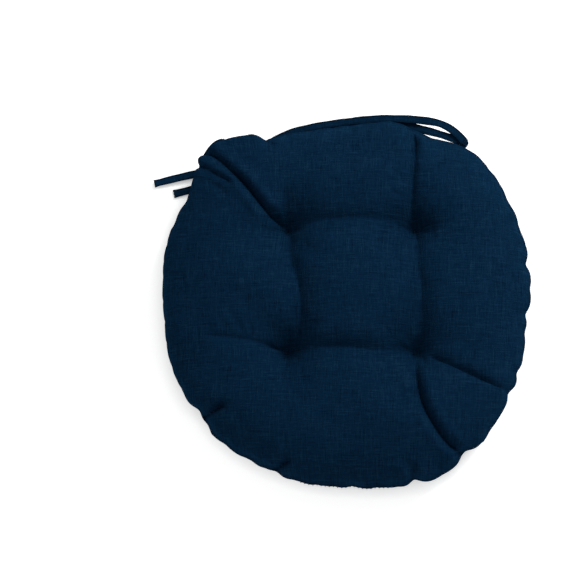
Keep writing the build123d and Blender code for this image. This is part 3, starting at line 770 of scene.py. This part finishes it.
def make_fill():
    n = GRID
    x, y, quads, rim = disc_grid(n)
    count = len(x)
    step = 3
    ids = np.arange(0, n + 1, step)
    if ids[-1] != n:
        ids = np.append(ids, n)
    m = len(ids)
    topv = coarse[:count].reshape(n + 1, n + 1, 3)[np.ix_(ids, ids)].reshape(-1, 3)
    is_rim = np.zeros(count, bool); is_rim[rim] = True
    low_all = coarse[:count].copy()
    low_all[~is_rim] = coarse[count:]
    lowv = low_all.reshape(n + 1, n + 1, 3)[np.ix_(ids, ids)].reshape(-1, 3)
    mid = (topv[:, 2] + lowv[:, 2]) / 2
    deg = np.degrees(np.arctan2(topv[:, 1], topv[:, 0]))
    rr, rz = rim_at(deg)
    rho = np.hypot(topv[:, 0], topv[:, 1]) / rr
    a, b = topv.copy(), lowv.copy()
    roof, ground = cell_limits()
    lid = roof(topv[:, :2]) - 3.0
    base_z = ground(topv[:, :2]) + 2.5
    half = np.maximum((lid - base_z) / 2, 0.3)
    mid = (lid + base_z) / 2
    a[:, 2] = mid + half; b[:, 2] = np.maximum(mid - half, 3.0)
    t = np.clip((rho - 0.72) / 0.28, 0, 1)
    shrink = 1 - 0.075 * t * t
    for arr in (a, b):
        arr[:, 0] *= shrink; arr[:, 1] *= shrink
    edge = np.zeros((m, m), bool); edge[0, :] = edge[-1, :] = edge[:, 0] = edge[:, -1] = True
    e = edge.ravel()
    a[e, 2] = b[e, 2] = (rz[e] + mid[e]) / 2
    idx = lambda i, j: i * m + j
    q = [(idx(i, j), idx(i + 1, j), idx(i + 1, j + 1), idx(i, j + 1)) for i in range(m - 1) for j in range(m - 1)]
    lowi = np.arange(m * m); inner = np.where(~e)[0]
    lowi[inner] = m * m + np.arange(len(inner))
    verts = np.vstack([a, b[inner]])
    faces = q + [tuple(int(lowi[k]) for k in reversed(f)) for f in q]
    ob = new_object("fibre_filling", verts * MM, faces)
    ob.data.materials.append(M_FIBRE)
    ob.data.polygons.foreach_set("use_smooth", [True] * len(ob.data.polygons))
    return ob


fill = make_fill()

# ---------------------------------------------------------------- tuft twine
tuft_pieces = {}
TOPV = V[np.unique(QUADS[SIDE == 0])]
LOWV = V[np.unique(QUADS[SIDE == 1])]
for tag, node in (("bl", "front_left"), ("br", "front_right"), ("tl", "back_left"), ("tr", "back_right")):
    tx, ty = TUFT[tag]
    zt = float(TOPV[np.hypot(TOPV[:, 0] - tx, TOPV[:, 1] - ty) < 4.5][:, 2].min()) + 0.3
    zb = float(LOWV[np.hypot(LOWV[:, 0] - tx, LOWV[:, 1] - ty) < 4.5][:, 2].max()) - 0.3
    parts = []
    for turn, (ang, spread) in enumerate(((12, 2.3), (68, 1.9), (128, 2.1))):
        ca, sa = math.cos(math.radians(ang)), math.sin(math.radians(ang))
        loop = []
        for t in np.linspace(0, 1, 12, endpoint=False):
            loop.append((spread * (2 * t - 1), zt + 0.55 + 0.5 * math.sin(math.pi * t) + turn * 0.18))
        for t in np.linspace(0, 1, 12, endpoint=False):
            loop.append((spread * (1 - 0.35 * math.sin(math.pi * t)), zt + 0.4 + (zb - 0.4 - zt - 0.4) * t))
        for t in np.linspace(0, 1, 12, endpoint=False):
            loop.append((spread * (1 - 2 * t), zb - 0.55 - 0.5 * math.sin(math.pi * t) - turn * 0.18))
        for t in np.linspace(0, 1, 12, endpoint=False):
            loop.append((-spread * (1 - 0.35 * math.sin(math.pi * t)), zb - 0.4 + (zt + 0.4 - zb + 0.4) * t))
        pts = [(tx + u * ca, ty + u * sa, z) for u, z in loop]
        parts.append(tube(pts, 0.42, 8, closed=True))
    tuft_pieces[node] = solid_piece("tuft_twine_" + node, parts, M_THREAD)

# ---------------------------------------------------------------- seam thread and closing stitches
def seam_curve(angles, share, dz=0.0):
    r, z = rim_at(angles)
    a = np.radians(angles)
    return np.stack([r * share * np.cos(a), r * share * np.sin(a), z + dz], 1)


CLOSE_A, CLOSE_B = 256.0, 284.0
angs = np.arange(CLOSE_B - 360.0 + 0.6, CLOSE_A - 0.6, 0.55)
stitch_z = 0.22 * np.sin(np.arange(len(angs)) * 1.9)
seam_line = seam_curve(angs, 0.990)
seam_line[:, 2] += stitch_z
seam_piece = solid_piece("seam_stitching", [tube(seam_line, 0.34, 6)], M_THREAD)
parts = []
for k in range(22):
    a = CLOSE_A + (k + 0.5) * (CLOSE_B - CLOSE_A) / 22
    lean = 0.28
    r0, z0 = rim_at(np.array([a - lean])); r1, z1 = rim_at(np.array([a + lean]))
    p = []
    for t in np.linspace(0, 1, 9):
        ang = math.radians(a - lean + 2 * lean * t)
        bow = math.sin(math.pi * t)
        r = float(r0[0] * (1 - t) + r1[0] * t) - 1.9 + 2.5 * bow
        z = float(z0[0] * (1 - t) + z1[0] * t) + (1.0 - 2.0 * t) * 1.15
        p.append((r * math.cos(ang), r * math.sin(ang), z))
    parts.append(tube(p, 0.3, 6))
closing = solid_piece("closing_stitches", parts, M_THREAD)

# ---------------------------------------------------------------- ties
STRANDS = {
    "right_upper": [(131.96, 181.62, 43.5), (125.0, 190.5, 43.2), (112.5, 200.0, 42.0), (96.0, 206.5, 39.6), (60.6, 212.5, 33.6),
                    (23.0, 212.5, 26.8), (-57.0, 204.7, 12.5), (-104.0, 180.0, 7.2), (-138.0, 165.0, 5.6),
                    (-173.0, 156.0, 4.6), (-220.0, 145.0, 4.0)],
    "right_lower": [(131.96, 181.62, 40.5), (120.5, 186.6, 39.8), (106.0, 192.6, 37.8), (88.0, 198.6, 34.6), (66.0, 204.2, 30.0),
                    (23.0, 208.0, 21.8), (-57.0, 198.0, 9.2), (-104.0, 171.0, 4.2), (-137.0, 152.5, 2.8),
                    (-168.0, 141.5, 2.0), (-198.0, 134.0, 1.6)],
    "left_upper": [(-138.42, 183.69, 43.5), (-145.2, 181.4, 43.2), (-154.2, 174.2, 36.5), (-161.8, 159.6, 26.0), (-168.5, 133.0, 16.6),
                   (-175.8, 101.5, 11.8), (-186.4, 50.0, 8.0), (-190.0, 0.0, 5.4), (-182.6, -49.0, 4.2),
                   (-159.4, -99.6, 4.0), (-133.0, -131.0, 4.0)],
    "left_lower": [(-138.42, 183.69, 40.5), (-144.9, 181.1, 40.0), (-152.8, 172.9, 31.5), (-159.6, 156.6, 20.0), (-165.6, 127.0, 12.0),
                   (-171.4, 95.0, 8.8), (-178.7, 47.9, 5.2), (-182.0, 0.0, 2.8), (-174.8, -46.8, 1.8),
                   (-152.6, -95.4, 1.6), (-124.0, -128.5, 1.6)],
}


def tape_path(points, step=1.6):
    path = spline(points, 40)
    # heights stay between each span's ends
    seg = np.linalg.norm(np.diff(path, axis=0), axis=1)
    run = np.concatenate([[0], np.cumsum(seg)])
    n = int(run[-1] / step)
    s = np.linspace(0, run[-1], n)
    out = np.stack([np.interp(s, run, path[:, c]) for c in range(3)], 1)
    ker = np.hanning(9); ker /= ker.sum()
    pad = np.pad(out, ((4, 4), (0, 0)), mode="edge")
    sm = np.stack([np.convolve(pad[:, c], ker, mode="valid") for c in range(3)], 1)
    sm[0], sm[-1] = out[0], out[-1]
    return sm, s


# cross-section of a tape folded in to its middle and edge-stitched: across (share of half width), height (mm)
SECTION = [(-1.0, 0.0), (-0.985, 0.36), (-0.90, 0.60), (-0.74, 0.66), (-0.62, 0.46), (-0.56, 0.40), (-0.48, 0.50), (-0.2, 0.50),
           (-0.03, 0.46), (0.0, 0.36), (0.03, 0.50), (0.2, 0.56), (0.48, 0.54), (0.56, 0.42), (0.62, 0.48), (0.74, 0.66), (0.90, 0.58), (0.985, 0.34),
           (1.0, 0.0), (0.985, -0.34), (0.90, -0.55), (0.74, -0.60), (0.62, -0.44), (0.3, -0.50), (0.0, -0.52), (-0.3, -0.50), (-0.62, -0.44), (-0.74, -0.60), (-0.90, -0.55), (-0.985, -0.34)]


def tape(name, points, half=4.4, seed=0, root=True):
    """One strand: folded tape with rolled edges, small waves and a cut end."""
    p, s = tape_path(points)
    n = len(p)
    tan = np.gradient(p, axis=0)
    flat = np.stack([tan[:, 0], tan[:, 1]], 1); flat /= np.linalg.norm(flat, axis=1, keepdims=True)
    across = np.stack([-flat[:, 1], flat[:, 0], np.zeros(n)], 1)
    tan /= np.linalg.norm(tan, axis=1, keepdims=True)
    up = np.cross(tan, across); up = np.where(up[:, 2:3] < 0, -up, up)
    L = s[-1]
    ease = np.clip((s - 14) / 30, 0, 1)
    twist = np.radians(5.0) * np.sin(s / 31.0 + seed * 2.1) * ease + np.radians(4.0) * np.sin(s / 13.7 + seed) * ease
    width = half * (1 + 0.04 * np.sin(s / 9.0 + seed) + 0.03 * np.sin(s / 4.1 + 2 * seed))
    width = width * np.where(s > L - 5, 1.0 + 0.10 * (s - L + 5) / 5, 1.0)
    ripple = 0.10 * np.sin(s / 2.6 + seed) * ease
    side = 0.5 * np.sin(s / 17.0 + seed * 3) * ease
    verts, uvs_, faces = [], [], []
    k = len(SECTION)
    for i in range(n):
        c, d = math.cos(twist[i]), math.sin(twist[i])
        ax = across[i] * c + up[i] * d; uz = up[i] * c - across[i] * d
        for j, (u, h) in enumerate(SECTION):
            pucker = 0.07 * math.sin(s[i] * 2.1 + (1.5 if u > 0 else 0)) if abs(abs(u) - 0.6) < 0.16 else 0.0
            fray = (0.5 * math.sin(j * 2.3 + seed) if i == n - 1 else 0.0)
            verts.append(p[i] + ax * (u * width[i] + side[i]) + uz * (h + ripple[i] * (1 - abs(u)) + (pucker if h > 0 else 0)) + tan[i] * fray)
    for i in range(n - 1):
        for j in range(k):
            m = (j + 1) % k
            faces.append((i * k + j, (i + 1) * k + j, (i + 1) * k + m, i * k + m))
    # ends: close with a ring drawn in, so the cut shows layered cloth
    for i, flip, inset in ((0, False, 0.0), (n - 1, True, 0.5)):
        ring = [i * k + j for j in range(k)]
        base = len(verts)
        c0 = np.mean([verts[q] for q in ring], axis=0)
        for q in ring:
            verts.append(c0 + (verts[q] - c0) * np.array([0.82, 0.82, 0.45]) - tan[i] * inset * (1 if flip else -1))
        for j in range(k):
            m = (j + 1) % k
            f = (ring[j], ring[m], base + m, base + j)
            faces.append(f if not flip else tuple(reversed(f)))
        cap = [base + j for j in range(k)]
        faces.append(tuple(cap) if not flip else tuple(reversed(cap)))
    ob = new_object(name, np.array(verts) * MM, faces)
    uv = ob.data.uv_layers.new(name="cloth")
    run = np.zeros(k)
    for j in range(1, k):
        run[j] = run[j - 1] + math.hypot((SECTION[j][0] - SECTION[j - 1][0]) * half, SECTION[j][1] - SECTION[j - 1][1])
    loops = np.empty(len(ob.data.loops), int); ob.data.loops.foreach_get("vertex_index", loops)
    body = loops < n * k
    uu = np.where(body, run[np.minimum(loops, n * k - 1) % k], 2.0) + 11.0 * seed
    vv = np.where(body, s[np.minimum(loops, n * k - 1) // k], L)
    uv.data.foreach_set("uv", np.stack([uu, vv], 1).ravel() * 0.001)
    place = ob.data.uv_layers.new(name="across")     # 0 on the tape's middle, 1 on its edges
    su = np.abs(np.array([q[0] for q in SECTION]))
    pu = np.where(body, su[np.minimum(loops, n * k - 1) % k], 0.5)
    place.data.foreach_set("uv", np.stack([pu, np.zeros(len(pu))], 1).ravel())
    ob.data.uv_layers.active_index = 0
    bm = bmesh.new(); bm.from_mesh(ob.data); bmesh.ops.recalc_face_normals(bm, faces=bm.faces); bm.to_mesh(ob.data); bm.free()
    ob.data.materials.append(M_TIE)
    ob.data.polygons.foreach_set("use_smooth", [True] * len(ob.data.polygons))
    return ob, p, across, up, s


def tape_stitches(name, p, across, up, s, half=4.4, offset=0.59):
    """The edge stitching of a tape: short stitches in the groove beside each rolled edge, upper face."""
    parts = []
    pitch, length = 3.2, 2.3
    for sgn in (-1, 1):
        t = 6.0
        while t < s[-1] - 4.0:
            q = []
            for w in np.linspace(0, 1, 5):
                at = t + length * w
                c = [np.interp(at, s, p[:, k]) for k in range(3)]
                a = [np.interp(at, s, across[:, k]) for k in range(3)]
                u = [np.interp(at, s, up[:, k]) for k in range(3)]
                q.append([c[k] + a[k] * sgn * offset * half + u[k] * (0.52 + 0.16 * math.sin(math.pi * w)) for k in range(3)])
            parts.append(tube(q, 0.17, 5))
            t += pitch
    return parts


BENDS = {j["name"]: j for j in frame["joints"]} if isinstance(frame["joints"], list) else frame["joints"]
tie_pieces = []
for k, (tag, pts) in enumerate(STRANDS.items()):
    ob, p, ac, up, s = tape("tie_" + tag, pts, seed=k + 1)
    tie_pieces.append((tag, ob, p, ac, up, s))


# roots: the sewn-in tab and the bartack
def tab_piece(side, angle, root_r):
    rim_r, rim_z = rim_at(np.array([angle]))
    start, end = float(rim_r[0]) - 9.0, root_r + 4.2
    ca, sa = math.cos(math.radians(angle)), math.sin(math.radians(angle))
    n = 20
    verts, faces = [], []
    k = len(SECTION)
    for i in range(n):
        t = i / (n - 1)
        r = start + (end - start) * t
        z = float(rim_z[0]) * (1 - min(1, t * 1.5)) + SEAM_Z * min(1, t * 1.5)
        over = max(0.0, (r - (root_r - 0.2)) / 4.4)
        w = 4.3 * math.sqrt(max(0.02, 1 - over ** 2))
        for (u, h) in SECTION:
            verts.append((r * ca - u * w * sa, r * sa + u * w * ca, z + h * 0.95))
    for i in range(n - 1):
        for j in range(k):
            m = (j + 1) % k
            faces.append((i * k + j, (i + 1) * k + j, (i + 1) * k + m, i * k + m))
    faces.append(tuple(range(k))); faces.append(tuple((n - 1) * k + j for j in reversed(range(k))))
    ob = new_object(side + "_tie_root", np.array(verts) * MM, faces)
    uv = ob.data.uv_layers.new(name="cloth")
    loops = np.empty(len(ob.data.loops), int); ob.data.loops.foreach_get("vertex_index", loops)
    uv.data.foreach_set("uv", np.stack([(loops % k) * 0.5 + 60, (loops // k) * 0.9], 1).ravel() * 0.001)
    bm = bmesh.new(); bm.from_mesh(ob.data); bmesh.ops.recalc_face_normals(bm, faces=bm.faces); bm.to_mesh(ob.data); bm.free()
    ob.data.materials.append(M_TIE)
    ob.data.polygons.foreach_set("use_smooth", [True] * len(ob.data.polygons))
    return ob


def bartack_piece(side, angle, root_r):
    ca, sa = math.cos(math.radians(angle)), math.sin(math.radians(angle))
    parts = []
    for face in (1, -1):
        z0 = 44.25 if face > 0 else 39.75
        for i in range(9):
            off = (i - 4) * 0.62
            q = []
            for t in np.linspace(-1, 1, 9):
                u = t * 2.9                     # across the tape
                v = off + (0.26 if i % 2 else -0.26) * t
                lift = 0.34 * (1 - abs(t) ** 3)
                x, y = (root_r + v), u
                q.append((x * ca - y * sa, x * sa + y * ca, z0 + face * lift))
            parts.append(tube(q, 0.34, 6))
    # thread drawn through all the layers
    for u, v in ((0.5, 0.3), (-0.5, -0.2), (0.0, 0.6), (0.1, -0.6)):
        x, y = root_r + v, u
        parts.append(tube([(x * ca - y * sa, x * sa + y * ca, z) for z in np.linspace(39.6, 44.4, 6)], 0.3, 6))
    return solid_piece(side + "_bartack_stitches", parts, M_THREAD)


roots = []
for side, angle, rr in (("right", 54.0, 224.5), ("left", 127.0, 230.0)):
    roots.append((side, tab_piece(side, angle, rr), bartack_piece(side, angle, rr)))

# ---------------------------------------------------------------- what rides on what
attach(top_cover, "base"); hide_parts("top_panel")
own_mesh(top_cover)
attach(bottom_cover, "base"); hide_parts("bottom_panel")
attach(fill, "base"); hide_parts("fibre_fill")
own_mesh(fill)
for node, ob in tuft_pieces.items():
    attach(ob, "base"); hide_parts("tuft_thread_" + node)
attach(seam_piece, "base"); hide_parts("perimeter_seam_thread")
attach(closing, "base"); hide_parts("closing_stitch")
for side, tab, tack in roots:
    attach(tab, "base"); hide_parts(side + "_tie_tab")
    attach(tack, "base"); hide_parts(side + "_tie_bartack")
for tag, ob, p, ac, up, s in tie_pieces:
    mid = s[-1] * 0.5
    at = lambda q: np.array([np.interp(q, s, p[:, c]) for c in range(3)]) * MM
    a, b = at(mid - 16.0), at(mid + 16.0)
    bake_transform(ob, tag + "_lead", tag + "_tail", start=tuple(float(v) for v in a), end=tuple(float(v) for v in b))
    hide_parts(tag + "_lead", tag + "_tail")

# ---------------------------------------------------------------- stage, light and camera
def plain_mat(name, col, rough=0.9):
    m, nt, bsdf = mat_new(name)
    bsdf.inputs["Base Color"].default_value = (*col, 1); bsdf.inputs["Roughness"].default_value = rough
    bsdf.inputs["Specular IOR Level"].default_value = 0.1
    return m


floor = new_object("stage_floor", np.array([(-40, -40, 0), (40, -40, 0), (40, 40, 0), (-40, 40, 0)], float), [(0, 1, 2, 3)])
floor.location.z = -0.0004
stage_mat = plain_mat("stage_white", (0.90, 0.90, 0.90))
stage_mat.node_tree.nodes["Principled BSDF"].inputs["Emission Color"].default_value = (1, 1, 1, 1)
# the glow keeps the floor pale, and fades where the cushion stands close over it: a painted contact shadow in the glow
ao = stage_mat.node_tree.nodes.new("ShaderNodeAmbientOcclusion"); ao.inputs["Distance"].default_value = 0.035; ao.samples = 8
glow = math_node(stage_mat.node_tree, "MULTIPLY", math_node(stage_mat.node_tree, "POWER", ao.outputs["AO"], 1.0), 0.66)
stage_mat.node_tree.links.new(glow, stage_mat.node_tree.nodes["Principled BSDF"].inputs["Emission Strength"])
# seen from underneath the floor is clear, so that the underside can be looked at
nt = stage_mat.node_tree
geo = nt.nodes.new("ShaderNodeNewGeometry"); clear = nt.nodes.new("ShaderNodeBsdfTransparent"); both = nt.nodes.new("ShaderNodeMixShader")
nt.links.new(geo.outputs["Backfacing"], both.inputs[0])
nt.links.new(nt.nodes["Principled BSDF"].outputs[0], both.inputs[1]); nt.links.new(clear.outputs[0], both.inputs[2])
nt.links.new(both.outputs[0], nt.nodes["Material Output"].inputs["Surface"])
floor.data.materials.append(stage_mat)
world = bpy.data.worlds.new("studio"); scene.world = world
world.use_nodes = True
bg = world.node_tree.nodes["Background"]
bg.inputs["Color"].default_value = (1, 1, 1, 1)
rays = world.node_tree.nodes.new("ShaderNodeLightPath")
level = math_node(world.node_tree, "MULTIPLY_ADD", rays.outputs["Is Camera Ray"], 0.63, 0.37)
world.node_tree.links.new(level, bg.inputs["Strength"])


def area(name, loc, target, size, power, size_y=None):
    ld = bpy.data.lights.new(name, "AREA"); ld.energy = power; ld.size = size
    if size_y:
        ld.shape = "RECTANGLE"; ld.size_y = size_y
    lo = bpy.data.objects.new(name, ld); scene.collection.objects.link(lo)
    lo.location = loc
    lo.rotation_euler = (Vector(target) - Vector(loc)).to_track_quat("-Z", "Y").to_euler()
    return lo


area("key_light", (1.14, 1.24, 1.52), (0, 0, 0.04), 0.85, 41.5)
area("fill_light", (-0.9, -1.2, 2.2), (0, 0, 0.04), 1.6, 8.5)

cam_data = bpy.data.cameras.new("camera"); cam = bpy.data.objects.new("camera", cam_data)
scene.collection.objects.link(cam); scene.camera = cam
tilt_y, tilt_x = math.radians(9.5), math.radians(2.5)
back = Vector((math.sin(tilt_x), -math.sin(tilt_y), math.cos(tilt_y))).normalized()
right = Vector((1, 0, 0)); right = (right - back * right.dot(back)).normalized()
upv = back.cross(right)
cam_data.lens = 135.0; cam_data.sensor_width = 36.0
dist = 0.6348 * 135.0 / 36.0
aim = Vector((0, 0, 0.045))
eye = aim + back * dist
look = aim - right * (57.0 * 0.001102) + upv * (15.5 * 0.001102)   # the cushion stands a little right of and below the middle
back = (eye - look).normalized()
right = (right - back * right.dot(back)).normalized()
upv = back.cross(right)
cam.matrix_world = Matrix.Translation(eye) @ Matrix((right, upv, back)).transposed().to_4x4()
cam_data.clip_end = 50.0
scene.view_settings.view_transform = "Standard"
scene.view_settings.look = "None"

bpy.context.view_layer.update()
print("scene ready", round(time.time() - T0, 1), "s")
